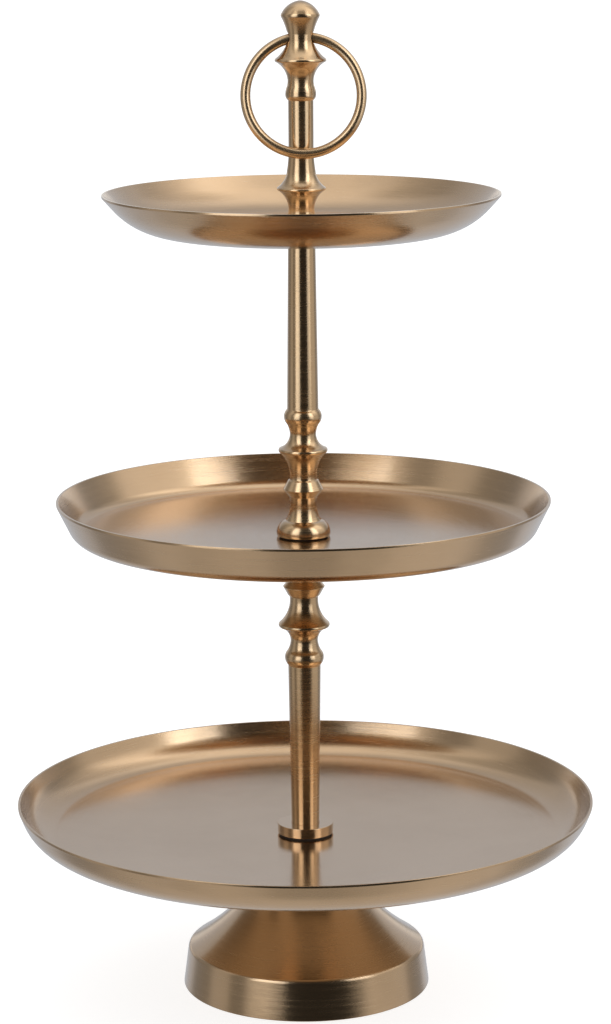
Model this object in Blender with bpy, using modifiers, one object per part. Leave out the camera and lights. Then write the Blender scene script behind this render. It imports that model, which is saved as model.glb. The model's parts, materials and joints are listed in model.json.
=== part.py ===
"""Three-tier cake stand: a hollow trumpet foot, three dished round trays, two turned columns between them,
and a turned handle with a loose ring. One bolt and two studs on the centre line clamp the whole stack.

Run with: blender --background --python part.py
"""

import math

import bmesh
import bpy
from mathutils import Vector

MM = 0.001

# Fits
GAP = 0.3 * MM                    # clearance between pieces that touch
BORE = 3.3 * MM                   # clearance hole for the bolt and the studs
STUD = 2.85 * MM                  # radius of the bolt's shank and of the studs
BORE_DEPTH = 18 * MM              # blind holes in the columns and the handle
STUD_REACH = 16 * MM              # of a stud into each blind hole
SPACER = 0.4 * MM                 # thin washer wherever a tray meets a turned piece
SPACER_INSET = 0.8 * MM           # of a washer from the edge of the face it lies on

# Trays
SHEET = 1.5 * MM
TRAY_DEPTH = 20.2 * MM            # rim above the middle of the floor
SEAT_RADIUS = 20 * MM             # flat middle of the floor, under the columns
FLOOR_SLOPE = math.radians(3.4)   # of the dished floor where it meets the wall
FLOOR_STEPS = 2
BEND_STEPS = 5
TRAYS = {
    # name: radius, slope of the wall, radius of the bend between floor and wall
    "bottom_tray": (150 * MM, math.radians(68), 20 * MM),
    "middle_tray": (126.8 * MM, math.radians(64), 9 * MM),
    "top_tray": (100.7 * MM, math.radians(48), 40 * MM),
}

# Foot
FOOT_LIFT = 0.4 * MM              # lower edge of the foot above the table
PEDESTAL_WALL = 3 * MM
WALL_DROP = 1.8 * MM              # of the inner surface below the outer one
PEDESTAL_TOP = 78.1 * MM
PEDESTAL_PLATE = 4 * MM           # closes the neck; the bolt pulls on it
LIP_RADIUS = 62.6 * MM            # inside the skirt's lower lip
LEDGE_RADIUS = 52 * MM            # the pads sit under a ledge from here to the lip
LEDGE_THICKNESS = 2 * MM
GASKET = 0.6 * MM
GASKET_RADIUS = 24 * MM
PAD_RADIUS = 4 * MM
PAD_HEIGHT = 1.2 * MM
PAD_CIRCLE = 57.5 * MM
PAD_COUNT = 4

# Bolt inside the foot
BOLT_HEAD_RADIUS = 5.77 * MM      # over the corners
BOLT_HEAD = 4 * MM
BOLT_REACH = 14 * MM              # into the lower column
FLAT_WASHER = (9 * MM, 1.2 * MM)  # radius, thickness
SPRING_WASHER = (5.6 * MM, 1.6 * MM)
SLOT_WIDTH = 1 * MM               # across the spring washer
SLOT_LENGTH = 4 * MM

# Columns
COLUMN_LENGTH = 152.9 * MM
UPPER_GIRTH = 0.95                # the upper column is slightly slimmer than the lower one
COLLAR_RADIUS = 14.6 * MM
COLLAR_HEIGHT = 5.2 * MM
SOCKET_DEPTH = 2.5 * MM           # the lower column stands in a recess of the collar
COLLAR_CHAMFER = 0.3 * MM

# Handle ring
RING_RADIUS = 29.05 * MM
WIRE_RADIUS = 2.55 * MM
RING_SHIFT = 1.4 * MM             # the loose ring hangs a little to the right
HOLE_RADIUS = 3.5 * MM
HOLE_HEIGHT = 96.5 * MM           # of the cross hole above the foot of the handle
SHAFT_RADIUS = 6.35 * MM          # of the handle where the ring leans on it
NECK_RADIUS = 6.4 * MM            # of the handle where the ring passes through it

# Heights, from the table up
BOTTOM_TRAY_Z = PEDESTAL_TOP + GASKET + 2 * GAP
COLLAR_Z = BOTTOM_TRAY_Z + SHEET + SPACER + 2 * GAP
LOWER_COLUMN_Z = COLLAR_Z + COLLAR_HEIGHT - SOCKET_DEPTH + GAP
MIDDLE_TRAY_Z = LOWER_COLUMN_Z + COLUMN_LENGTH + SPACER + 2 * GAP
UPPER_COLUMN_Z = MIDDLE_TRAY_Z + SHEET + SPACER + 2 * GAP
TOP_TRAY_Z = UPPER_COLUMN_Z + COLUMN_LENGTH + SPACER + 2 * GAP
STEM_Z = TOP_TRAY_Z + SHEET + SPACER + 2 * GAP
HINGE_Z = STEM_Z + HOLE_HEIGHT

# An outline is a list of (radius, height, bulge) in millimetres, from the foot up. A bulge other than 0
# bends the stretch up to the next point into an arc: positive swells outwards, negative is hollow, and its
# size is the arc's height over half its chord.
COLUMN_OUTLINE = [
    (13.9, 0.0, 0.0),
    (14.7, 0.8, 0.25),            # domed foot
    (10.8, 7.3, 0.0),
    (9.5, 7.6, -0.18),            # hollow
    (7.6, 20.0, 0.0),
    (10.8, 23.8, 0.0),            # ridge
    (8.3, 28.3, 0.0),
    (7.45, 29.0, -0.25),          # vase
    (12.9, 43.2, 0.37),           # flange
    (12.9, 45.1, -0.33),
    (7.1, 52.5, -0.11),           # waist
    (8.4, 57.4, 0.0),
    (8.7, 57.9, 0.4),             # bead
    (8.6, 65.3, 0.0),
    (8.45, 65.6, 0.0),            # tapered shaft
    (7.3, 152.9, 0.0),
]
STEM_OUTLINE = [
    (10.4, 0.0, 0.0),
    (11.2, 0.8, 0.25),            # domed foot
    (8.8, 5.2, 0.0),
    (7.9, 5.6, -0.1),
    (6.6, 11.4, -0.27),           # vase
    (12.2, 20.9, 0.4),            # lower flange
    (12.2, 22.1, -0.23),
    (7.15, 30.8, -0.05),
    (6.35, 43.0, 0.0),            # shaft
    (6.35, 65.7, 0.3),
    (7.7, 68.9, 0.1),             # bead
    (6.85, 72.9, -0.1),
    (6.55, 75.8, -0.26),
    (12.7, 84.9, 0.4),            # upper flange
    (12.7, 86.4, -0.17),
    (6.4, 95.5, 0.0),
    (6.4, 98.2, -0.07),           # neck with the cross hole
    (9.5, 106.8, 0.3),            # knob
    (9.3, 109.1, 0.25),
    (0.0, 115.2, 0.0),
]
PEDESTAL_OUTLINE = [
    (64.7, 0.4, 0.0),             # skirt
    (62.2, 19.3, 0.27),           # rounded shoulder
    (60.4, 21.9, -0.06),          # trumpet
    (37.3, 41.3, -0.18),
    (25.2, 70.4, 0.0),            # neck
    (25.2, 78.1, 0.0),
]

# Finishes: base colour, metallic, roughness
BRONZE = ("bronze", (0.55, 0.38, 0.23, 1.0), 1.0, 0.28)
POLISHED = ("polished_bronze", (0.60, 0.41, 0.25, 1.0), 1.0, 0.15)
STEEL = ("zinc_steel", (0.55, 0.56, 0.58, 1.0), 1.0, 0.35)
RUBBER = ("clear_rubber", (0.30, 0.29, 0.27, 1.0), 0.0, 0.6)


def reset_scene():
    for old in list(bpy.data.objects):
        bpy.data.objects.remove(old, do_unlink=True)


def new_collection(name):
    collection = bpy.data.collections.new(name)
    bpy.context.scene.collection.children.link(collection)
    return collection


def material(finish):
    name, colour, metallic, roughness = finish
    found = bpy.data.materials.get(name)
    if found:
        return found
    made = bpy.data.materials.new(name)
    made.use_nodes = True
    shader = made.node_tree.nodes["Principled BSDF"]
    shader.inputs["Base Color"].default_value = colour
    shader.inputs["Metallic"].default_value = metallic
    shader.inputs["Roughness"].default_value = roughness
    made.diffuse_color = colour
    return made


def link(obj, collection, finish):
    collection.objects.link(obj)
    obj.data.materials.append(material(finish))
    return obj


def arc(start, end, bulge, steps):
    """Points after start up to end on the arc between them, in (radius, height)."""
    chord = Vector(end) - Vector(start)
    normal = Vector((chord.y, -chord.x))              # to the outer side of a rising outline
    half_angle = 2 * math.atan(abs(bulge))
    side = math.copysign(1, bulge)
    radius = chord.length / (2 * math.sin(half_angle))
    centre = (Vector(start) + Vector(end)) / 2 - normal.normalized() * side * radius * math.cos(half_angle)
    spoke = Vector(start) - centre
    points = []
    for step in range(1, steps + 1):
        turn = side * 2 * half_angle * step / steps
        cosine, sine = math.cos(turn), math.sin(turn)
        points.append((centre.x + spoke.x * cosine - spoke.y * sine,
                       centre.y + spoke.x * sine + spoke.y * cosine))
    return points


def trace(outline, girth=1.0, steps=3):
    """The outline as (radius, height) points in metres, with its bulges turned into arcs."""
    corners = [(radius * girth * MM, height * MM) for radius, height, bulge in outline]
    points = [corners[0]]
    for start, end, (_, _, bulge) in zip(corners, corners[1:], outline):
        if bulge:
            points += arc(start, end, bulge, steps)
        else:
            points.append(end)
    return points


def turned(name, rising, collection, finish, z=0.0, segments=20, closed=False):
    """A turned piece: the outline, given from the bottom up, spun about Z by a Screw modifier."""
    falling = rising[::-1]
    edges = [(index, index + 1) for index in range(len(falling) - 1)]
    if closed:
        edges.append((len(falling) - 1, 0))
    mesh = bpy.data.meshes.new(name)
    mesh.from_pydata([(radius, 0.0, height) for radius, height in falling], edges, [])
    obj = link(bpy.data.objects.new(name, mesh), collection, finish)
    obj.location.z = z
    screw = obj.modifiers.new("Turn", "SCREW")
    screw.steps = segments
    screw.render_steps = segments
    screw.use_merge_vertices = True
    screw.merge_threshold = 0.00001
    screw.use_smooth_shade = True
    return obj


def washer(name, inner, outer, height, collection, finish, z, segments=20):
    ring = [(inner, 0.0), (outer, 0.0), (outer, height), (inner, height)]
    return turned(name, ring, collection, finish, z, segments, closed=True)


def combine(obj, other, operation):
    boolean = obj.modifiers.new(other.name, "BOOLEAN")
    boolean.operation = operation
    boolean.solver = "EXACT"
    boolean.object = other
    other.hide_render = True
    other.display_type = "WIRE"


def rod(name, radius, length, collection, finish, z=0.0, sides=16):
    """A plain vertical cylinder, or a prism with few sides, standing on z."""
    mesh = bpy.data.meshes.new(name)
    shape = bmesh.new()
    bmesh.ops.create_cone(shape, cap_ends=True, segments=sides, radius1=radius, radius2=radius, depth=length)
    bmesh.ops.translate(shape, verts=shape.verts, vec=(0, 0, length / 2))
    shape.to_mesh(mesh)
    shape.free()
    obj = link(bpy.data.objects.new(name, mesh), collection, finish)
    obj.location.z = z
    return obj


def box(name, size, collection):
    mesh = bpy.data.meshes.new(name)
    shape = bmesh.new()
    bmesh.ops.create_cube(shape, size=1.0)
    bmesh.ops.scale(shape, verts=shape.verts, vec=size)
    shape.to_mesh(mesh)
    shape.free()
    return link(bpy.data.objects.new(name, mesh), collection, STEEL)


def blind_bored(outer, bottom_bore, top_bore):
    """Closes an outline on the axis, with a blind hole in the bottom and, where asked, one in the top."""
    points = list(outer)
    if bottom_bore:
        points = [(0.0, BORE_DEPTH), (BORE, BORE_DEPTH), (BORE, 0.0)] + points
    if top_bore:
        top = outer[-1][1]
        points += [(BORE, top), (BORE, top - BORE_DEPTH), (0.0, top - BORE_DEPTH)]
    return points


def flipped(points, length):
    """The same outline standing on its other end."""
    return [(radius, length - height) for radius, height in reversed(points)]


def make_pedestal(collection):
    """The hollow foot: a skirt, a trumpet and a neck closed by a plate, with a ledge for the pads."""
    outer = trace(PEDESTAL_OUTLINE)
    inner = [(radius - PEDESTAL_WALL, height - WALL_DROP) for radius, height in outer[2:-1]]
    ledge = PAD_HEIGHT + GAP
    ceiling = PEDESTAL_TOP - PEDESTAL_PLATE
    inside = [(BORE, ceiling), (inner[-1][0], ceiling)] + inner[::-1]
    foot = [(LEDGE_RADIUS, ledge + LEDGE_THICKNESS), (LEDGE_RADIUS, ledge),
            (LIP_RADIUS, ledge), (LIP_RADIUS, FOOT_LIFT)]
    ring = inside + foot + outer + [(BORE, PEDESTAL_TOP)]
    turned("pedestal_base", ring, collection, BRONZE, segments=36, closed=True)


def make_pads(collection):
    for number in range(PAD_COUNT):
        angle = math.tau * (number + 0.5) / PAD_COUNT
        pad = rod(f"foot_pad_{number + 1}", PAD_RADIUS, PAD_HEIGHT, collection, RUBBER, sides=12)
        pad.location.x = PAD_CIRCLE * math.cos(angle)
        pad.location.y = PAD_CIRCLE * math.sin(angle)


def make_base_bolt(collection, helpers):
    """The hex bolt from inside the foot up into the lower column, with its two washers."""
    flat_radius, flat = FLAT_WASHER
    spring_radius, spring = SPRING_WASHER
    flat_z = PEDESTAL_TOP - PEDESTAL_PLATE - GAP - flat
    spring_z = flat_z - GAP - spring
    washer("base_washer", BORE, flat_radius, flat, collection, STEEL, flat_z)
    split = washer("base_spring_washer", BORE, spring_radius, spring, collection, STEEL, spring_z)
    slot = box("spring_washer_slot", (SLOT_LENGTH, SLOT_WIDTH, 2 * spring), helpers)
    slot.location = ((BORE + spring_radius) / 2, 0, spring_z + spring / 2)
    combine(split, slot, "DIFFERENCE")
    head_top = spring_z - GAP
    bolt = rod("base_bolt", BOLT_HEAD_RADIUS, BOLT_HEAD, collection, STEEL, head_top - BOLT_HEAD, sides=6)
    root = head_top - BOLT_HEAD / 2
    tip = LOWER_COLUMN_Z + BOLT_REACH
    combine(bolt, rod("bolt_shank", STUD, tip - root, helpers, STEEL, root), "UNION")


def tray_outline(radius, wall_slope, bend):
    """Underside of a tray from its hole to its rim, with the middle of the underside at height 0.

    The floor is flat under the columns, then rises along a parabola to FLOOR_SLOPE. A bend of constant
    radius turns it up into the straight wall. The floor's radius follows from all the others.
    """
    rim = TRAY_DEPTH + SHEET - SHEET * math.cos(wall_slope)
    bend_width = bend * (math.sin(wall_slope) - math.sin(FLOOR_SLOPE))
    bend_height = bend * (math.cos(FLOOR_SLOPE) - math.cos(wall_slope))
    lean = 1 / math.tan(wall_slope)
    rise = math.tan(FLOOR_SLOPE) / 2                  # height of the dish over its width
    floor = radius - bend_width - (rim - bend_height) * lean - rise * lean * SEAT_RADIUS
    floor /= 1 - rise * lean
    width = floor - SEAT_RADIUS
    points = [(BORE, 0.0), (SEAT_RADIUS, 0.0)]
    for step in range(1, FLOOR_STEPS + 1):
        part = step / FLOOR_STEPS
        points.append((SEAT_RADIUS + width * part, rise * width * part * part))
    corner_height = rise * width
    for step in range(1, BEND_STEPS + 1):
        slope = FLOOR_SLOPE + (wall_slope - FLOOR_SLOPE) * step / BEND_STEPS
        points.append((floor + bend * (math.sin(slope) - math.sin(FLOOR_SLOPE)),
                       corner_height + bend * (math.cos(FLOOR_SLOPE) - math.cos(slope))))
    points.append((radius, rim))
    return points


def make_tray(name, z, collection):
    tray = turned(name, tray_outline(*TRAYS[name]), collection, BRONZE, z, segments=40)
    solidify = tray.modifiers.new("Sheet", "SOLIDIFY")
    solidify.thickness = SHEET
    solidify.offset = -1
    solidify.use_even_offset = True


def make_collar(collection):
    """The round collar that the lower column stands in."""
    shaft = COLUMN_OUTLINE[-1][0] * MM + GAP
    edge = COLLAR_RADIUS - COLLAR_CHAMFER
    socket = COLLAR_HEIGHT - SOCKET_DEPTH
    ring = [(BORE, 0.0), (edge, 0.0), (COLLAR_RADIUS, COLLAR_CHAMFER),
            (COLLAR_RADIUS, COLLAR_HEIGHT - COLLAR_CHAMFER), (edge, COLLAR_HEIGHT),
            (shaft, COLLAR_HEIGHT), (shaft, socket), (BORE, socket)]
    turned("column_collar", ring, collection, BRONZE, COLLAR_Z, segments=24, closed=True)


def make_columns(collection):
    """Both columns are the same turning: the lower one stands on its shaft, the upper one on its foot."""
    lower = blind_bored(flipped(trace(COLUMN_OUTLINE), COLUMN_LENGTH), True, True)
    turned("lower_column", lower, collection, POLISHED, LOWER_COLUMN_Z)
    upper = blind_bored(trace(COLUMN_OUTLINE, UPPER_GIRTH), True, True)
    turned("upper_column", upper, collection, POLISHED, UPPER_COLUMN_Z)


def make_spacers(collection):
    """Thin washers, a little smaller than the turned faces, that keep the trays from being marked."""
    foot = COLUMN_OUTLINE[0][0] * MM
    spacers = {
        # name: radius of the face it lies on, lower side of the washer
        "collar_washer": (COLLAR_RADIUS, BOTTOM_TRAY_Z + SHEET + GAP),
        "middle_washer_lower": (foot, MIDDLE_TRAY_Z - GAP - SPACER),
        "middle_washer_upper": (foot * UPPER_GIRTH, MIDDLE_TRAY_Z + SHEET + GAP),
        "top_washer_lower": (COLUMN_OUTLINE[-1][0] * MM * UPPER_GIRTH, TOP_TRAY_Z - GAP - SPACER),
        "top_washer_upper": (STEM_OUTLINE[0][0] * MM, TOP_TRAY_Z + SHEET + GAP),
    }
    for name, (face, z) in spacers.items():
        washer(name, BORE, face - SPACER_INSET, SPACER, collection, RUBBER, z)
    washer("pedestal_gasket", BORE, GASKET_RADIUS, GASKET, collection, RUBBER, PEDESTAL_TOP + GAP)


def make_studs(collection):
    """The two studs that pull a column, a tray and the next turned piece together."""
    for name, bottom, top in (("middle_stud", LOWER_COLUMN_Z + COLUMN_LENGTH, UPPER_COLUMN_Z),
                              ("top_stud", UPPER_COLUMN_Z + COLUMN_LENGTH, STEM_Z)):
        rod(name, STUD, top - bottom + 2 * STUD_REACH, collection, STEEL, bottom - STUD_REACH)


def make_handle(collection, helpers):
    stem = turned("handle_stem", blind_bored(trace(STEM_OUTLINE), True, False), collection, POLISHED, STEM_Z)
    hole = rod("ring_hole", HOLE_RADIUS, 4 * NECK_RADIUS, helpers, POLISHED, sides=20)
    hole.rotation_euler.y = math.pi / 2
    hole.location = (-2 * NECK_RADIUS, 0, HINGE_Z)
    combine(stem, hole, "DIFFERENCE")


def make_ring(collection):
    """The wire ring, hanging in the cross hole and leaning forward on the handle's shaft."""
    sag = RING_RADIUS - math.sqrt(RING_RADIUS ** 2 - (NECK_RADIUS + RING_SHIFT) ** 2)
    top = sag / 2                                     # the wire's bend is centred on the hinge's axis
    drop = 2 * RING_RADIUS - top
    lean = math.asin((SHAFT_RADIUS + WIRE_RADIUS + GAP) / drop)
    hinge = bpy.data.objects.new("ring_hinge", None)
    collection.objects.link(hinge)
    hinge.location.z = HINGE_Z
    bpy.ops.mesh.primitive_torus_add(major_radius=RING_RADIUS, minor_radius=WIRE_RADIUS,
                                     major_segments=36, minor_segments=8)
    ring = bpy.context.active_object
    ring.name = "handle_ring"
    for owner in list(ring.users_collection):
        owner.objects.unlink(ring)
    link(ring, collection, POLISHED)
    ring.data.shade_smooth()
    ring.parent = hinge
    ring.rotation_euler.x = math.pi / 2
    ring.location = (RING_SHIFT, 0, top - RING_RADIUS)
    hinge.rotation_euler.x = -lean


def main():
    reset_scene()
    parts = new_collection("tiered_cake_stand")
    helpers = new_collection("helpers")
    make_pedestal(parts)
    make_pads(parts)
    make_base_bolt(parts, helpers)
    make_spacers(parts)
    make_tray("bottom_tray", BOTTOM_TRAY_Z, parts)
    make_collar(parts)
    make_columns(parts)
    make_studs(parts)
    make_tray("middle_tray", MIDDLE_TRAY_Z, parts)
    make_tray("top_tray", TOP_TRAY_Z, parts)
    make_handle(parts, helpers)
    make_ring(parts)


main()
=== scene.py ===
"""Looks of the tiered cake stand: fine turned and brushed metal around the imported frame, a pale floor and
soft studio light. Lengths are in metres unless a name says otherwise.
"""
import json
import math

import bmesh
import bpy
from mathutils import Matrix, Vector


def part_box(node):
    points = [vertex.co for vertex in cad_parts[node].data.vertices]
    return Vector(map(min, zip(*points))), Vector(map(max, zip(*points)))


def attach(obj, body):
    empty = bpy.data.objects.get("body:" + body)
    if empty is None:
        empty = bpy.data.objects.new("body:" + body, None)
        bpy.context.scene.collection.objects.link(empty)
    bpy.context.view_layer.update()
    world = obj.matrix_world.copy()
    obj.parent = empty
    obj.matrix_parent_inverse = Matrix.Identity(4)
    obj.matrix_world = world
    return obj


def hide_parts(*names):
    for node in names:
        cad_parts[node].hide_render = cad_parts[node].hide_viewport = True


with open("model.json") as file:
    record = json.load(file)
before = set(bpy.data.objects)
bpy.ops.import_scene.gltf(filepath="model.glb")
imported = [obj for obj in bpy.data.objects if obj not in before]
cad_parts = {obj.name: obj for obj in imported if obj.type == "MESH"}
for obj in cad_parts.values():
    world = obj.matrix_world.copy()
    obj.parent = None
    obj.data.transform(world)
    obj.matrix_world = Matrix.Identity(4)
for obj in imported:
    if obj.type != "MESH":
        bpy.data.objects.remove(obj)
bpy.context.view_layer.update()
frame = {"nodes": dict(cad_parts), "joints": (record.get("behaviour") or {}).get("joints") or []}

MM = 0.001
STAND = "stand"
RING = "ring"
TURNING_SEGMENTS = 160
TRAY_SEGMENTS = 256

# Camera, at the eye point of somebody looking slightly down at the stand
CAMERA_PLACE = (1.05 * MM, -1.581, 0.575)
CAMERA_PITCH = math.radians(11.52)
CAMERA_ROLL = math.radians(-0.37)
CAMERA_LENS = 110.3
SENSOR_WIDTH = 36.0

# Fits
BORE = 3.3 * MM
GAP = 0.3 * MM                    # what the CAD keeps between touching pieces
CONTACT = 0.03 * MM               # what is left of it here

# Trays: slope of the wall, radius of the bend between floor and wall
SHEET = 1.5 * MM
RIM_FACE = 1.05 * MM              # height of the upright face cut on the rim; the rim's top is cut level
RIM_BREAK = 0.2 * MM              # its corners are broken
SEAT_RADIUS = 20 * MM
FLOOR_SLOPE = math.radians(3.4)
TRAYS = {
    "bottom_tray": (math.radians(68), 20 * MM),
    "middle_tray": (math.radians(64), 9 * MM),
    "top_tray": (math.radians(48), 40 * MM),
}

# Outlines of the turned pieces, as (radius, height, bulge) in millimetres from the foot up. A bulge other
# than 0 bends the stretch up to the next point into an arc; it is the arc's height over half its chord.
COLUMN_FOOT_RADIUS = 14.7
COLUMN_OUTLINE = [
    (14.5, -0.27, 0.0),
    (COLUMN_FOOT_RADIUS, 0.6, 0.27),
    (10.8, 7.3, 0.0),
    (9.5, 7.6, -0.18),            # hollow
    (7.6, 20.0, 0.0),
    (10.8, 23.8, 0.0),            # ridge
    (8.3, 28.3, 0.0),
    (7.45, 29.0, -0.25),          # vase
    (12.9, 43.2, 0.37),           # flange
    (12.9, 45.1, -0.33),
    (7.1, 52.5, -0.11),           # waist
    (8.4, 57.4, 0.0),
    (8.7, 57.9, 0.4),             # bead
    (8.6, 65.3, 0.0),
    (8.45, 65.6, 0.0),            # tapered shaft
    (7.3, 152.9, 0.0),
]
STEM_OUTLINE = [
    (11.0, -0.27, 0.0),
    (11.2, 0.5, 0.27),            # domed foot
    (8.8, 5.2, 0.0),
    (7.9, 5.6, -0.1),
    (6.6, 11.4, -0.27),           # vase
    (12.2, 20.9, 0.4),            # lower flange
    (12.2, 22.1, -0.23),
    (7.15, 30.8, -0.05),
    (6.35, 43.0, 0.0),            # shaft
    (6.35, 65.7, 0.3),
    (7.7, 68.9, 0.1),             # bead
    (6.85, 72.9, -0.1),
    (6.55, 75.8, -0.26),
    (12.7, 84.9, 0.4),            # upper flange
    (12.7, 86.4, -0.17),
    (6.4, 95.5, 0.0),
    (6.4, 98.2, -0.07),           # neck with the cross hole
    (9.5, 106.8, 0.3),            # knob
    (9.3, 109.1, 0.25),
    (0.0, 115.2, 0.0),
]
PEDESTAL_OUTLINE = [
    (64.7, 0.4, 0.0),             # skirt
    (62.2, 19.3, 0.27),           # rounded shoulder
    (60.4, 21.9, -0.06),          # trumpet
    (37.3, 41.3, -0.18),
    (25.2, 70.4, 0.0),            # neck
    (25.2, 78.1, 0.0),
]
PEDESTAL_WALL = 3 * MM
WALL_DROP = 1.8 * MM
PEDESTAL_PLATE = 4 * MM
LIP_RADIUS = 62.6 * MM
LEDGE_RADIUS = 52 * MM
LEDGE_Z = 1.5 * MM
LEDGE_THICKNESS = 2 * MM
SOCKET_DEPTH = 2.5 * MM
WIRE_RADIUS = 2.55 * MM
HOLE_RADIUS = 3.5 * MM
BORE_DEPTH = 18 * MM
TURNED_BREAK = 0.3 * MM           # broken corners of the columns, the handle and the pads
PEDESTAL_BREAK = 0.5 * MM
COLLAR_BREAK = 0.35 * MM
WASHER_BREAK = 0.2 * MM
STEEL_WASHER_BREAK = 0.25 * MM

SHARP_TURN = math.radians(20)     # corners of an outline that turn by more than this are rounded
CORNER_STEPS = 4
ARC_STEPS = 14

# Finish of the metal: streaks as (1 / width, 1 / length, detail), in metres
FINE_LINES = (2600, 120, 3.0)
BROAD_LINES = (700, 22, 2.0)
BRUSHED_COLOURS = ((0.64, 0.435, 0.25, 1), (0.54, 0.355, 0.19, 1))
POLISHED_COLOURS = ((0.64, 0.435, 0.24, 1), (0.54, 0.35, 0.17, 1))

# Room. A band is its bearing, the half widths at full strength and at none, all in degrees, and its
# strength. Bearings count from the camera's side, to the right.
FRONT_DARK = (12, 27, 52, 0.95)
SIDE_DARKS = ((-68, 4, 12, 0.5), (125, 8, 20, 0.45), (-118, 8, 22, 0.45))
TABLE_SHADE = (3, 5, 38, 0.35)
ROOM_LEVEL = 0.54
OVERHEAD_GAIN = 0.62
OVERHEAD_TO_RIGHT = 0.5           # how much more of it comes from the right
ROOM_TO_RIGHT = 0.12
TABLE_GAIN = 0.08
LAMP_DIRECTION = (0.61, 0.36, 0.70)
LAMP_GAIN = 0.25
EDGE_DARK = 0.55
GLOW_GAIN = 0.45
COOL_TINT = (0.96, 1.0, 1.07, 1)
WARM_TINT = (1.03, 1.0, 0.95, 1)

SOFTBOX_DISTANCE = 1.4
SOFTBOX_COLOUR = (0.93, 1.0, 1.1)
SOFTBOXES = [
    # name, bearing, width, bottom, top, radiance
    ("left_softbox_low", -36, 0.8, 0.0, 0.68, 1.25),
    ("left_softbox_high", -36, 0.8, 0.68, 2.4, 1.7),
    ("right_softbox_low", 53, 0.64, 0.12, 0.68, 1.05),
    ("right_softbox_high", 53, 0.64, 0.68, 2.4, 2.2),
]


# ---------------------------------------------------------------- outlines

def arc(start, end, bulge, steps):
    """Points after start up to end on the arc between them."""
    chord = Vector(end) - Vector(start)
    normal = Vector((chord.y, -chord.x)).normalized()
    half_angle = 2 * math.atan(abs(bulge))
    side = math.copysign(1, bulge)
    radius = chord.length / (2 * math.sin(half_angle))
    centre = (Vector(start) + Vector(end)) / 2 - normal * side * radius * math.cos(half_angle)
    spoke = Vector(start) - centre
    points = []
    for step in range(1, steps + 1):
        turn = side * 2 * half_angle * step / steps
        cosine, sine = math.cos(turn), math.sin(turn)
        points.append((centre.x + spoke.x * cosine - spoke.y * sine,
                       centre.y + spoke.x * sine + spoke.y * cosine))
    return points


def trace(outline, girth=1.0):
    """The outline as (radius, height) points in metres, with its bulges turned into fine arcs."""
    corners = [(radius * girth * MM, height * MM) for radius, height, bulge in outline]
    points = [corners[0]]
    for start, end, (_, _, bulge) in zip(corners, corners[1:], outline):
        if bulge:
            points += arc(start, end, bulge, ARC_STEPS)
        else:
            points.append(end)
    return points


def softened(points, radius):
    """A closed outline with its sharp corners rounded off."""
    result = []
    for index, point in enumerate(points):
        here = Vector(point)
        back = Vector(points[index - 1]) - here
        ahead = Vector(points[(index + 1) % len(points)]) - here
        turn = math.pi - back.angle(ahead)
        if here.x < BORE / 2 or turn < SHARP_TURN:
            result.append(point)
            continue
        reach = min(radius * math.tan(turn / 2), 0.45 * back.length, 0.45 * ahead.length)
        start = here + back.normalized() * reach
        end = here + ahead.normalized() * reach
        for step in range(CORNER_STEPS + 1):
            part = step / CORNER_STEPS
            bend = start * (1 - part) ** 2 + here * 2 * part * (1 - part) + end * part ** 2
            result.append((bend.x, bend.y))
    return result


def flipped(points, length):
    return [(radius, length - height) for radius, height in reversed(points)]


def washer_outline(radius, height):
    return [(BORE, 0.0), (radius, 0.0), (radius, height), (BORE, height)]


# ---------------------------------------------------------------- meshes

def add_object(name, shape):
    mesh = bpy.data.meshes.new(name)
    shape.to_mesh(mesh)
    shape.free()
    mesh.shade_smooth()
    obj = bpy.data.objects.new(name, mesh)
    bpy.context.scene.collection.objects.link(obj)
    return obj


def spin(shape, outline, segments):
    """Adds a closed outline of (radius, height) points, spun about Z, whose outer side runs upwards."""
    rows = []
    for radius, height in outline:
        if radius < 0.01 * MM:
            rows.append([shape.verts.new((0, 0, height))])
            continue
        row = []
        for step in range(segments):
            angle = math.tau * step / segments
            row.append(shape.verts.new((radius * math.cos(angle), radius * math.sin(angle), height)))
        rows.append(row)
    for lower, upper in zip(rows, rows[1:] + rows[:1]):
        for step in range(segments):
            after = (step + 1) % segments
            if len(lower) == 1 and len(upper) == 1:
                break
            if len(lower) == 1:
                shape.faces.new((lower[0], upper[after], upper[step]))
            elif len(upper) == 1:
                shape.faces.new((lower[step], lower[after], upper[0]))
            else:
                shape.faces.new((lower[step], lower[after], upper[after], upper[step]))


def turned(name, outline, z, segments=TURNING_SEGMENTS):
    shape = bmesh.new()
    spin(shape, [(radius, height + z) for radius, height in outline], segments)
    obj = add_object(name, shape)
    flat = obj.modifiers.new("Flat faces stay flat", "WEIGHTED_NORMAL")
    flat.keep_sharp = True
    return obj


def carve(obj, steps, sharp_angle):
    """Applies Booleans, given as (other object, operation), and removes the other objects."""
    for other, operation in steps:
        boolean = obj.modifiers.new(other.name, "BOOLEAN")
        boolean.operation = operation
        boolean.object = other
    bpy.context.view_layer.update()
    evaluated = obj.evaluated_get(bpy.context.evaluated_depsgraph_get())
    carved = bpy.data.meshes.new_from_object(evaluated)
    obj.modifiers.clear()
    obj.data = carved
    for other, _ in steps:
        bpy.data.objects.remove(other, do_unlink=True)
    carved.shade_smooth()
    carved.set_sharp_from_angle(angle=sharp_angle)


def finish_piece(obj, node, material, body=STAND):
    """Gives the piece its material, makes it move with its body and hides the CAD part that it stands for.
    """
    obj.data.materials.clear()
    obj.data.materials.append(material)
    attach(obj, body)
    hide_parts(node)
    return obj


# ---------------------------------------------------------------- materials

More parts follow.
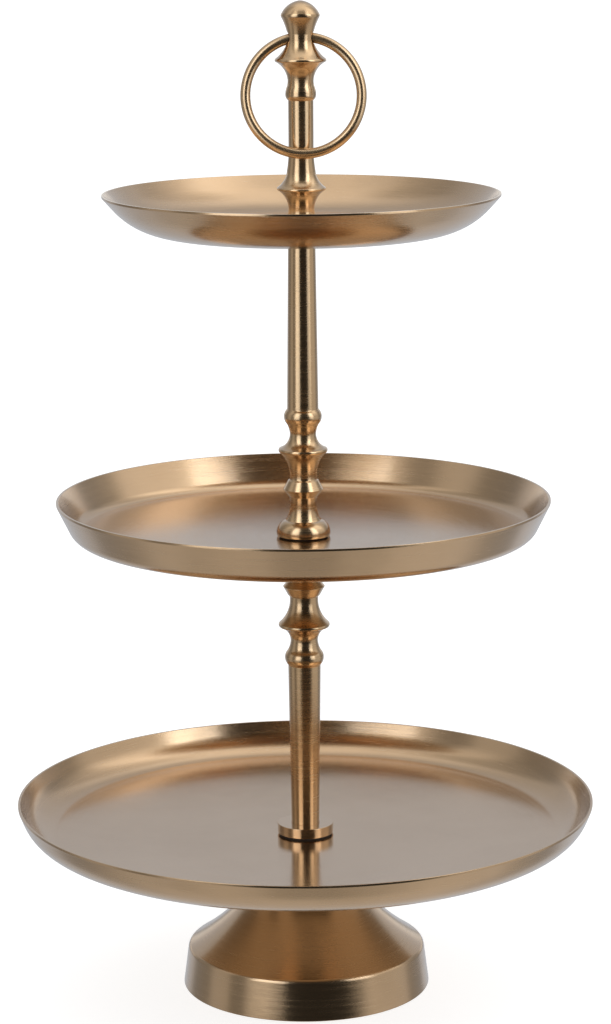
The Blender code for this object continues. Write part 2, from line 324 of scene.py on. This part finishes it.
class Nodes:
    """Short calls for building one material's node tree."""

    def __init__(self, name):
        self.material = bpy.data.materials.new(name)
        self.material.use_nodes = True
        self.tree = self.material.node_tree
        self.shader = self.tree.nodes["Principled BSDF"]

    def add(self, kind, **settings):
        node = self.tree.nodes.new("ShaderNode" + kind)
        for key, value in settings.items():
            setattr(node, key, value)
        return node

    def plug(self, source, target):
        """Links a socket, or sets the target to a plain value."""
        if isinstance(source, bpy.types.NodeSocket):
            self.tree.links.new(source, target)
        else:
            target.default_value = source

    def math(self, operation, *values):
        node = self.add("Math", operation=operation)
        for value, socket in zip(values, node.inputs):
            self.plug(value, socket)
        return node.outputs[0]

    def spread(self, value, low, high, new_low, new_high):
        """Maps low..high to new_low..new_high, and stays inside it."""
        node = self.add("MapRange")
        for number, socket in zip((value, low, high, new_low, new_high), node.inputs):
            self.plug(number, socket)
        return node.outputs[0]

    def mix(self, factor, first, second):
        node = self.add("Mix", data_type="RGBA")
        self.plug(factor, node.inputs["Factor"])
        self.plug(first, node.inputs["A"])
        self.plug(second, node.inputs["B"])
        return node.outputs["Result"]

    def noise(self, vector, scale, detail=2.0, roughness=0.5, fourth=None):
        node = self.add("TexNoise", noise_dimensions="4D" if fourth is not None else "3D")
        self.plug(vector, node.inputs["Vector"])
        self.plug(scale, node.inputs["Scale"])
        self.plug(detail, node.inputs["Detail"])
        self.plug(roughness, node.inputs["Roughness"])
        if fourth is not None:
            self.plug(fourth, node.inputs["W"])
        return node.outputs["Fac"]


def brushed_metal(name, light, dark, roughness, brush_depth, anisotropy):
    """Lacquered bronze, brushed on a lathe: the lines run round the centre line.

    Level surfaces are finished finer than the walls. The lines come from a noise that changes fast with the
    radius and the height, and slowly along the turn.
    """
    n = Nodes(name)
    place = n.add("TexCoord").outputs["Object"]
    split = n.add("SeparateXYZ")
    n.plug(place, split.inputs[0])
    x, y, z = split.outputs
    radius = n.math("SQRT", n.math("ADD", n.math("MULTIPLY", x, x), n.math("MULTIPLY", y, y)))
    facing = n.add("SeparateXYZ")
    n.plug(n.add("NewGeometry").outputs["True Normal"], facing.inputs[0])
    level = n.math("ABSOLUTE", facing.outputs[2])

    def lines(across, along, detail):
        """Streaks about 1/across wide and 1/along long, in metres."""
        joined = n.add("CombineXYZ")
        n.plug(n.math("MULTIPLY", x, along), joined.inputs[0])
        n.plug(n.math("MULTIPLY", y, along), joined.inputs[1])
        n.plug(n.math("MULTIPLY", z, across), joined.inputs[2])
        return n.noise(joined.outputs[0], 1.0, detail, 0.6, fourth=n.math("MULTIPLY", radius, across))

    fine = lines(*FINE_LINES)
    broad = lines(*BROAD_LINES)
    patina = n.noise(place, 16.0, 4.0, 0.6)
    mottle = n.noise(place, 420.0, 2.0, 0.5)
    # colour: darker in the brush lines and where the patina has settled
    tone = n.math("ADD", n.spread(patina, 0.35, 0.7, 0.0, 0.5), n.spread(fine, 0.3, 0.7, 0.35, 0.0))
    tone = n.math("ADD", tone, n.spread(broad, 0.35, 0.65, 0.15, 0.0))
    n.plug(n.mix(tone, light, dark), n.shader.inputs["Base Color"])
    # roughness: the lines and cloudy patches vary it
    rough = n.math("ADD", roughness, n.spread(broad, 0.3, 0.7, -0.03, 0.05))
    rough = n.math("ADD", rough, n.spread(patina, 0.35, 0.7, -0.02, 0.04))
    rough = n.math("ADD", rough, n.spread(fine, 0.3, 0.7, -0.03, 0.04))
    rough = n.math("ADD", rough, n.spread(level, 0.85, 0.98, 0.0, -0.05))
    n.plug(rough, n.shader.inputs["Roughness"])
    # relief
    relief = n.math("ADD", fine, n.math("MULTIPLY", broad, 0.6))
    relief = n.math("ADD", relief, n.math("MULTIPLY", mottle, 0.2))
    relief = n.math("MULTIPLY", relief, n.spread(level, 0.8, 0.97, 1.0, 0.1))
    bump = n.add("Bump")
    bump.inputs["Strength"].default_value = 1.0
    bump.inputs["Distance"].default_value = brush_depth
    n.plug(relief, bump.inputs["Height"])
    n.plug(bump.outputs[0], n.shader.inputs["Normal"])
    n.shader.inputs["Metallic"].default_value = 1.0
    n.shader.inputs["Anisotropic"].default_value = anisotropy
    n.shader.inputs["Anisotropic Rotation"].default_value = 0.25
    tangent = n.add("Tangent", direction_type="RADIAL", axis="Z")
    n.plug(tangent.outputs[0], n.shader.inputs["Tangent"])
    n.shader.inputs["Coat Weight"].default_value = 1.0
    n.shader.inputs["Coat Roughness"].default_value = 0.15
    return n.material


def polished_wire(name, light, dark):
    """The ring's drawn and polished wire, with fine handling marks."""
    n = Nodes(name)
    place = n.add("TexCoord").outputs["Object"]
    patina = n.noise(place, 60.0, 4.0, 0.6)
    marks = n.noise(place, 1400.0, 3.0, 0.6)
    n.plug(n.mix(n.spread(patina, 0.3, 0.7, 0.0, 0.7), light, dark), n.shader.inputs["Base Color"])
    n.plug(n.math("ADD", n.spread(patina, 0.3, 0.7, 0.24, 0.32), n.spread(marks, 0.3, 0.7, -0.03, 0.04)),
           n.shader.inputs["Roughness"])
    bump = n.add("Bump")
    bump.inputs["Distance"].default_value = 0.004 * MM
    n.plug(marks, bump.inputs["Height"])
    n.plug(bump.outputs[0], n.shader.inputs["Normal"])
    n.shader.inputs["Metallic"].default_value = 1.0
    n.shader.inputs["Coat Weight"].default_value = 1.0
    n.shader.inputs["Coat Roughness"].default_value = 0.22
    return n.material


def zinc_plate(name):
    n = Nodes(name)
    place = n.add("TexCoord").outputs["Object"]
    cloud = n.noise(place, 300.0, 3.0, 0.6)
    grain = n.noise(place, 3000.0, 2.0, 0.5)
    n.plug(n.mix(n.spread(cloud, 0.3, 0.7, 0.0, 1.0), (0.60, 0.61, 0.63, 1), (0.42, 0.43, 0.46, 1)),
           n.shader.inputs["Base Color"])
    n.plug(n.spread(grain, 0.3, 0.7, 0.28, 0.42), n.shader.inputs["Roughness"])
    bump = n.add("Bump")
    bump.inputs["Distance"].default_value = 0.01 * MM
    n.plug(grain, bump.inputs["Height"])
    n.plug(bump.outputs[0], n.shader.inputs["Normal"])
    n.shader.inputs["Metallic"].default_value = 1.0
    return n.material


def dark_rubber(name):
    n = Nodes(name)
    place = n.add("TexCoord").outputs["Object"]
    cloud = n.noise(place, 200.0, 3.0, 0.6)
    grain = n.noise(place, 4000.0, 2.0, 0.5)
    n.plug(n.mix(cloud, (0.035, 0.027, 0.022, 1), (0.07, 0.058, 0.05, 1)), n.shader.inputs["Base Color"])
    n.plug(n.spread(grain, 0.3, 0.7, 0.5, 0.7), n.shader.inputs["Roughness"])
    bump = n.add("Bump")
    bump.inputs["Distance"].default_value = 0.02 * MM
    n.plug(grain, bump.inputs["Height"])
    n.plug(bump.outputs[0], n.shader.inputs["Normal"])
    return n.material


# ---------------------------------------------------------------- the stand

def tray_outline(radius, depth, wall_slope, bend):
    """Closed outline of a tray: the underside out to the rim, and back along the inner side."""
    rim = depth - SHEET * math.cos(wall_slope)
    face_foot = min(rim, depth - RIM_FACE)
    outermost = radius
    radius += (rim - face_foot) / math.tan(wall_slope)
    bend_width = bend * (math.sin(wall_slope) - math.sin(FLOOR_SLOPE))
    bend_height = bend * (math.cos(FLOOR_SLOPE) - math.cos(wall_slope))
    lean = 1 / math.tan(wall_slope)
    rise = math.tan(FLOOR_SLOPE) / 2
    floor = radius - bend_width - (rim - bend_height) * lean - rise * lean * SEAT_RADIUS
    floor /= 1 - rise * lean
    width = floor - SEAT_RADIUS
    stations = [(BORE, 0.0, 0.0), (SEAT_RADIUS, 0.0, 0.0)]        # radius, height, slope
    floor_steps, bend_steps, wall_steps = 10, 14, 3
    for step in range(1, floor_steps + 1):
        part = step / floor_steps
        slope = math.atan(2 * rise * part)
        stations.append((SEAT_RADIUS + width * part, rise * width * part * part, slope))
    corner = rise * width
    for step in range(1, bend_steps + 1):
        slope = FLOOR_SLOPE + (wall_slope - FLOOR_SLOPE) * step / bend_steps
        stations.append((floor + bend * (math.sin(slope) - math.sin(FLOOR_SLOPE)),
                         corner + bend * (math.cos(FLOOR_SLOPE) - math.cos(slope)), slope))
    foot = stations[-1]
    for step in range(1, wall_steps + 1):
        part = step / wall_steps
        stations.append((foot[0] + (radius - foot[0]) * part,
                         foot[1] + (rim - foot[1]) * part, wall_slope))
    underside = [(r, h) for r, h, slope in stations]
    inside = [(r - SHEET * math.sin(slope), h + SHEET * math.cos(slope)) for r, h, slope in stations]
    underside[-1] = (outermost, face_foot)
    face = [(outermost, depth - RIM_FACE / 2), (outermost, depth)]
    return underside + face + inside[::-1]


def make_tray(node, metal):
    low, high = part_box(node)
    wall_slope, bend = TRAYS[node]
    outline = tray_outline(high.x, high.z - low.z, wall_slope, bend)
    tray = turned(node + "_sheet", softened(outline, RIM_BREAK), low.z, TRAY_SEGMENTS)
    finish_piece(tray, node, metal)


def make_pedestal(metal):
    """The foot: outer skin, hollow inside, and the ledge that the pads sit under."""
    outer = trace(PEDESTAL_OUTLINE)
    top = outer[-1][1]
    inner = [(radius - PEDESTAL_WALL, height - WALL_DROP) for radius, height in outer[2:-1]]
    ceiling = top - PEDESTAL_PLATE
    inside = [(BORE, ceiling), (inner[-1][0], ceiling)] + inner[::-1]
    foot = [(LEDGE_RADIUS, LEDGE_Z + LEDGE_THICKNESS), (LEDGE_RADIUS, LEDGE_Z), (LIP_RADIUS, LEDGE_Z),
            (LIP_RADIUS, outer[0][1])]
    outline = inside + foot + outer + [(BORE, top)]
    foot_piece = turned("pedestal_spun", softened(outline, PEDESTAL_BREAK), 0.0, TRAY_SEGMENTS)
    finish_piece(foot_piece, "pedestal_base", metal)


def bored(outer, top_bore=True):
    """Closes an outline on the axis with blind bolt holes in its ends."""
    top = outer[-1][1]
    points = [(0.0, BORE_DEPTH), (BORE, BORE_DEPTH), (BORE, 0.0)] + outer
    if top_bore:
        points += [(BORE, top), (BORE, top - BORE_DEPTH), (0.0, top - BORE_DEPTH)]
    return points


def make_columns(metal):
    """The lower column stands on its shaft, the upper one on its foot."""
    length = COLUMN_OUTLINE[-1][1] * MM
    low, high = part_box("lower_column")
    girth = high.x / (COLUMN_FOOT_RADIUS * MM)
    outline = bored(flipped(trace(COLUMN_OUTLINE, girth), length))
    lower = turned("lower_turning", softened(outline, TURNED_BREAK), low.z)
    finish_piece(lower, "lower_column", metal)
    low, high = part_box("upper_column")
    girth = high.x / (COLUMN_FOOT_RADIUS * MM)
    outline = bored(trace(COLUMN_OUTLINE, girth))
    upper = turned("upper_turning", softened(outline, TURNED_BREAK), low.z)
    finish_piece(upper, "upper_column", metal)


def make_collar(metal):
    low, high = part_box("column_collar")
    shaft = COLUMN_OUTLINE[-1][0] * MM + CONTACT
    height = high.z - low.z
    outline = [(BORE, 0.0), (high.x, 0.0), (high.x, height), (shaft, height),
               (shaft, height - SOCKET_DEPTH), (BORE, height - SOCKET_DEPTH)]
    collar = turned("collar_turning", softened(outline, COLLAR_BREAK), low.z)
    finish_piece(collar, "column_collar", metal)


def make_stem(metal):
    """The handle, with the ring's cross hole cut through its neck."""
    low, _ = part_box("handle_stem")
    hinge = Vector(frame["joints"][0]["pos_m"])
    outline = bored(trace(STEM_OUTLINE), top_bore=False)
    stem = turned("handle_turning", softened(outline, TURNED_BREAK), low.z)
    sideways = Matrix.Translation(hinge) @ Matrix.Rotation(math.pi / 2, 4, "Y")
    drill_length = 40 * MM
    shape = bmesh.new()
    bmesh.ops.create_cone(shape, cap_ends=True, segments=48, radius1=HOLE_RADIUS, radius2=HOLE_RADIUS,
                          depth=drill_length, matrix=sideways)
    drill = add_object("drill", shape)
    carve(stem, [(drill, "DIFFERENCE")], math.radians(40))
    finish_piece(stem, "handle_stem", metal)


def make_ring(metal):
    """The closed wire ring, in the plane through the hinge's axis and its own centre."""
    low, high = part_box("handle_ring")
    centre = (low + high) / 2
    hinge = Vector(frame["joints"][0]["pos_m"])
    down = Vector((0, centre.y - hinge.y, centre.z - hinge.z)).normalized()
    across = Vector((1, 0, 0))
    radius = (high.x - low.x) / 2 - WIRE_RADIUS
    through = across.cross(down)
    around_steps, wire_steps = 192, 24
    shape = bmesh.new()
    circles = []
    for step in range(around_steps):
        angle = math.tau * step / around_steps
        outwards = across * math.cos(angle) + down * math.sin(angle)
        circle = []
        for turn in range(wire_steps):
            wire_angle = math.tau * turn / wire_steps
            offset = outwards * (radius + WIRE_RADIUS * math.cos(wire_angle))
            aside = through * WIRE_RADIUS * math.sin(wire_angle)
            circle.append(shape.verts.new(centre + offset + aside))
        circles.append(circle)
    for one, other in zip(circles, circles[1:] + circles[:1]):
        for turn in range(wire_steps):
            after = (turn + 1) % wire_steps
            shape.faces.new((one[turn], other[turn], other[after], one[after]))
    bmesh.ops.recalc_face_normals(shape, faces=shape.faces)
    ring = add_object("wire_ring", shape)
    finish_piece(ring, "handle_ring", metal, RING)


def make_washers(rubber):
    """The thin dark washers. They fill what the CAD leaves open, except where a turned foot does."""
    reach = GAP - CONTACT
    for node, below, above in (("collar_washer", reach, reach), ("middle_washer_lower", 0.0, reach),
                               ("middle_washer_upper", reach, 0.0), ("top_washer_lower", reach, reach),
                               ("top_washer_upper", reach, 0.0), ("pedestal_gasket", reach, reach)):
        low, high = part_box(node)
        outline = washer_outline(high.x, high.z - low.z + below + above)
        washer = turned(node + "_soft", softened(outline, WASHER_BREAK), low.z - below, 96)
        finish_piece(washer, node, rubber)


def make_pads(rubber):
    """The pads under the foot: low domes with a flat underside."""
    for number in range(1, 5):
        node = f"foot_pad_{number}"
        low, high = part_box(node)
        centre = (low + high) / 2
        radius = (high.x - low.x) / 2
        height = high.z - low.z + GAP - CONTACT
        flat_radius = radius * 0.9
        flare = height * 0.45
        outline = [(0.0, 0.0), (flat_radius, 0.0), (radius, flare), (radius, height), (0.0, height)]
        pad = turned(node + "_soft", softened(outline, TURNED_BREAK), low.z, 48)
        pad.location = (centre.x, centre.y, 0)
        finish_piece(pad, node, rubber)


def make_bolt(steel):
    """Hex bolt with a chamfered head."""
    low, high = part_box("base_bolt")
    corner = max(high.x, high.y)
    head = 4 * MM
    face_radius = corner * 0.84       # of the flat that the chamfer leaves
    rim_radius = corner * 1.02
    back_radius = corner * 0.9
    chamfer = 0.75 * MM
    back_chamfer = 0.3 * MM
    shank = 2.85 * MM
    tip = 0.8 * MM
    tip_inset = 0.6 * MM
    shape = bmesh.new()
    bmesh.ops.create_cone(shape, cap_ends=True, segments=6, radius1=corner, radius2=corner, depth=head,
                          matrix=Matrix.Translation((0, 0, low.z + head / 2)))
    head_piece = add_object("bolt_head", shape)
    shape = bmesh.new()
    cone = [(0.0, 0.0), (face_radius, 0.0), (rim_radius, chamfer), (rim_radius, head - back_chamfer),
            (back_radius, head), (0.0, head)]
    spin(shape, [(radius, height + low.z) for radius, height in cone], 96)
    rounding = add_object("bolt_rounding", shape)
    shape = bmesh.new()
    length = high.z - low.z
    thread = [(0.0, head / 2), (shank, head / 2), (shank, length - tip), (shank - tip_inset, length),
              (0.0, length)]
    spin(shape, [(radius, height + low.z) for radius, height in thread], 64)
    shank_piece = add_object("bolt_shank", shape)
    carve(head_piece, [(rounding, "INTERSECT"), (shank_piece, "UNION")], math.radians(25))
    head_piece.name = "hex_bolt"
    finish_piece(head_piece, "base_bolt", steel)


def make_steel_washers(steel):
    """The bolt's flat washer and its split spring washer."""
    low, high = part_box("base_washer")
    outline = washer_outline(high.x, high.z - low.z)
    flat = turned("flat_washer", softened(outline, STEEL_WASHER_BREAK), low.z, 96)
    finish_piece(flat, "base_washer", steel)

    low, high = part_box("base_spring_washer")
    rise = GAP - CONTACT
    section = softened(washer_outline(high.y, high.z - low.z), WASHER_BREAK)
    shape = bmesh.new()
    rows = []
    slot = math.radians(7)
    turns = 72
    for step in range(turns + 1):
        angle = slot + (math.tau - 2 * slot) * step / turns
        lift = low.z + rise * (2 * step / turns - 1)
        rows.append([shape.verts.new((r * math.cos(angle), r * math.sin(angle), h + lift))
                     for r, h in section])
    for one, other in zip(rows, rows[1:]):
        for index in range(len(section)):
            after = (index + 1) % len(section)
            shape.faces.new((one[index], other[index], other[after], one[after]))
    shape.faces.new(rows[0])
    shape.faces.new(rows[-1][::-1])
    bmesh.ops.recalc_face_normals(shape, faces=shape.faces)
    split = add_object("split_washer", shape)
    split.data.set_sharp_from_angle(angle=math.radians(40))
    finish_piece(split, "base_spring_washer", steel)


def make_studs(steel):
    """The two hidden studs keep their CAD shape."""
    for node in ("middle_stud", "top_stud"):
        obj = frame["nodes"][node]
        obj.data.materials.clear()
        obj.data.materials.append(steel)


# ---------------------------------------------------------------- stage, light and camera

def make_floor():
    shape = bmesh.new()
    bmesh.ops.create_circle(shape, cap_ends=True, segments=96, radius=40.0)
    floor = add_object("floor", shape)
    n = Nodes("pale_floor")
    grain = n.noise(n.add("TexCoord").outputs["Object"], 3.0, 2.0, 0.5)
    n.plug(n.mix(grain, (0.55, 0.55, 0.55, 1), (0.57, 0.57, 0.57, 1)), n.shader.inputs["Base Color"])
    n.shader.inputs["Roughness"].default_value = 0.9
    n.shader.inputs["Specular IOR Level"].default_value = 0.0
    n.shader.inputs["Emission Color"].default_value = (1, 1, 1, 1)
    n.shader.inputs["Emission Strength"].default_value = 0.82
    floor.data.materials.append(n.material)
    floor.visible_glossy = False


def make_world():
    """A pale room, dark where the camera stands and brighter overhead."""
    world = bpy.data.worlds.new("studio")
    bpy.context.scene.world = world
    world.use_nodes = True
    tree = world.node_tree
    background = tree.nodes["Background"]
    output = tree.nodes["World Output"]

    def add(kind, **settings):
        node = tree.nodes.new("ShaderNode" + kind)
        for key, value in settings.items():
            setattr(node, key, value)
        return node

    def link(source, target):
        if isinstance(source, bpy.types.NodeSocket):
            tree.links.new(source, target)
        else:
            target.default_value = source

    def calc(operation, *values):
        node = add("Math", operation=operation)
        for value, socket in zip(values, node.inputs):
            link(value, socket)
        return node.outputs[0]

    def product(first, *others):
        for other in others:
            first = calc("MULTIPLY", first, other)
        return first

    def without(value):
        """1 less the value."""
        return calc("SUBTRACT", 1.0, value)

    def smooth(value, low, high):
        """0 up to low, 1 from high on."""
        node = add("MapRange", interpolation_type="SMOOTHSTEP")
        link(value, node.inputs["Value"])
        link(low, node.inputs["From Min"])
        link(high, node.inputs["From Max"])
        return node.outputs[0]

    def facing(bearing_deg):
        """Cosine between a direction's bearing and the given one."""
        bearing = math.radians(bearing_deg)
        towards = calc("SUBTRACT", product(x, math.sin(bearing)), product(y, math.cos(bearing)))
        return calc("DIVIDE", towards, calc("MAXIMUM", flat, 0.01))

    def band(bearing_deg, full_deg, none_deg, strength):
        """The strength within full_deg of the bearing, falling to 0 at none_deg."""
        none, full = math.cos(math.radians(none_deg)), math.cos(math.radians(full_deg))
        return product(smooth(facing(bearing_deg), none, full), strength)

    direction = add("TexCoord").outputs["Generated"]
    split = add("SeparateXYZ")
    link(direction, split.inputs[0])
    x, y, z = split.outputs
    flat = calc("SQRT", calc("ADD", product(x, x), product(y, y)))
    # near black behind the camera, but neither overhead nor on the table
    upright = product(smooth(z, -1.0, -0.5), without(smooth(z, 0.85, 0.98)))
    dark = product(band(*FRONT_DARK), upright)
    # darker bands at the sides, so that the turned pieces keep their contrast from everywhere
    for side in SIDE_DARKS:
        dark = calc("MAXIMUM", dark, product(band(*side), upright))
    overhead = product(smooth(z, 0.15, 0.95), without(smooth(y, 0.25, 0.7)))
    overhead = product(overhead, calc("ADD", 1.0, product(x, OVERHEAD_TO_RIGHT)))
    level = calc("ADD", ROOM_LEVEL, product(overhead, OVERHEAD_GAIN))
    # the table is paler than the walls, but for a shade on the camera's side
    table = without(smooth(z, -0.8, -0.5))
    level = calc("ADD", level, product(table, TABLE_GAIN))
    dark = calc("MAXIMUM", dark, product(table, band(*TABLE_SHADE), smooth(z, -0.97, -0.92)))
    # a lamp high up behind on the right
    lamp = add("VectorMath", operation="DOT_PRODUCT")
    link(direction, lamp.inputs[0])
    link(LAMP_DIRECTION, lamp.inputs[1])
    level = calc("ADD", level, product(smooth(lamp.outputs["Value"], 0.85, 0.98), LAMP_GAIN))
    level = product(level, calc("ADD", 1.0, product(x, ROOM_TO_RIGHT)), without(dark))
    # the far side is dark right at the table's edge, warm above it and cool further up
    edge = product(smooth(z, -0.08, -0.05), without(smooth(z, 0.0, 0.03)), smooth(y, 0.3, 0.7), EDGE_DARK)
    level = product(level, without(edge))
    back = smooth(y, 0.3, 0.85)
    glow = product(back, without(smooth(z, 0.1, 0.19)), smooth(z, -0.1, 0.02))
    level = product(level, calc("ADD", 1.0, product(glow, GLOW_GAIN)))
    tint = add("Mix", data_type="RGBA")
    link(back, tint.inputs["Factor"])
    link((1, 1, 1, 1), tint.inputs["A"])
    link(COOL_TINT, tint.inputs["B"])
    warmer = add("Mix", data_type="RGBA")
    link(glow, warmer.inputs["Factor"])
    link(tint.outputs["Result"], warmer.inputs["A"])
    link(WARM_TINT, warmer.inputs["B"])
    lit = add("VectorMath", operation="SCALE")
    link(warmer.outputs["Result"], lit.inputs[0])
    link(level, lit.inputs["Scale"])
    link(lit.outputs[0], background.inputs["Color"])
    white = add("Background")
    white.inputs["Color"].default_value = (1, 1, 1, 1)
    chosen = add("MixShader")
    link(add("LightPath").outputs["Is Camera Ray"], chosen.inputs[0])
    link(background.outputs[0], chosen.inputs[1])
    link(white.outputs[0], chosen.inputs[2])
    link(chosen.outputs[0], output.inputs["Surface"])


def make_softbox(name, bearing_deg, width, bottom, top, radiance):
    """An upright softbox facing the stand."""
    bearing = math.radians(bearing_deg)
    light = bpy.data.lights.new(name, "AREA")
    light.shape = "RECTANGLE"
    light.size = width
    light.size_y = top - bottom
    light.energy = radiance * math.pi * width * (top - bottom)
    light.color = SOFTBOX_COLOUR
    lamp = bpy.data.objects.new(name, light)
    bpy.context.scene.collection.objects.link(lamp)
    place = Vector((math.sin(bearing), -math.cos(bearing), 0)) * SOFTBOX_DISTANCE
    place.z = (top + bottom) / 2
    lamp.location = place
    lamp.rotation_euler = (Vector((0, 0, place.z)) - place).to_track_quat("-Z", "Y").to_euler()
    lamp.visible_camera = False
    lamp.visible_diffuse = False


def make_camera():
    data = bpy.data.cameras.new("camera")
    data.lens = CAMERA_LENS
    data.sensor_width = SENSOR_WIDTH
    camera = bpy.data.objects.new("camera", data)
    bpy.context.scene.collection.objects.link(camera)
    turn = Matrix.Rotation(math.pi / 2 - CAMERA_PITCH, 4, "X") @ Matrix.Rotation(CAMERA_ROLL, 4, "Z")
    camera.matrix_world = Matrix.Translation(CAMERA_PLACE) @ turn
    bpy.context.scene.camera = camera


# ---------------------------------------------------------------- everything

brushed = brushed_metal("brushed_bronze", *BRUSHED_COLOURS,
                        roughness=0.21, brush_depth=0.022 * MM, anisotropy=0.6)
polished = brushed_metal("turned_bronze", *POLISHED_COLOURS,
                         roughness=0.22, brush_depth=0.008 * MM, anisotropy=0.5)
wire = polished_wire("wire_bronze", *POLISHED_COLOURS)
steel = zinc_plate("zinc_plate")
rubber = dark_rubber("dark_rubber")

for tray in TRAYS:
    make_tray(tray, brushed)
make_pedestal(brushed)
make_collar(brushed)
make_columns(polished)
make_stem(polished)
make_ring(wire)
make_washers(rubber)
make_pads(rubber)
make_bolt(steel)
make_steel_washers(steel)
make_studs(steel)

make_floor()
make_world()
for softbox in SOFTBOXES:
    make_softbox(*softbox)
make_camera()
bpy.context.scene.view_settings.view_transform = "Standard"
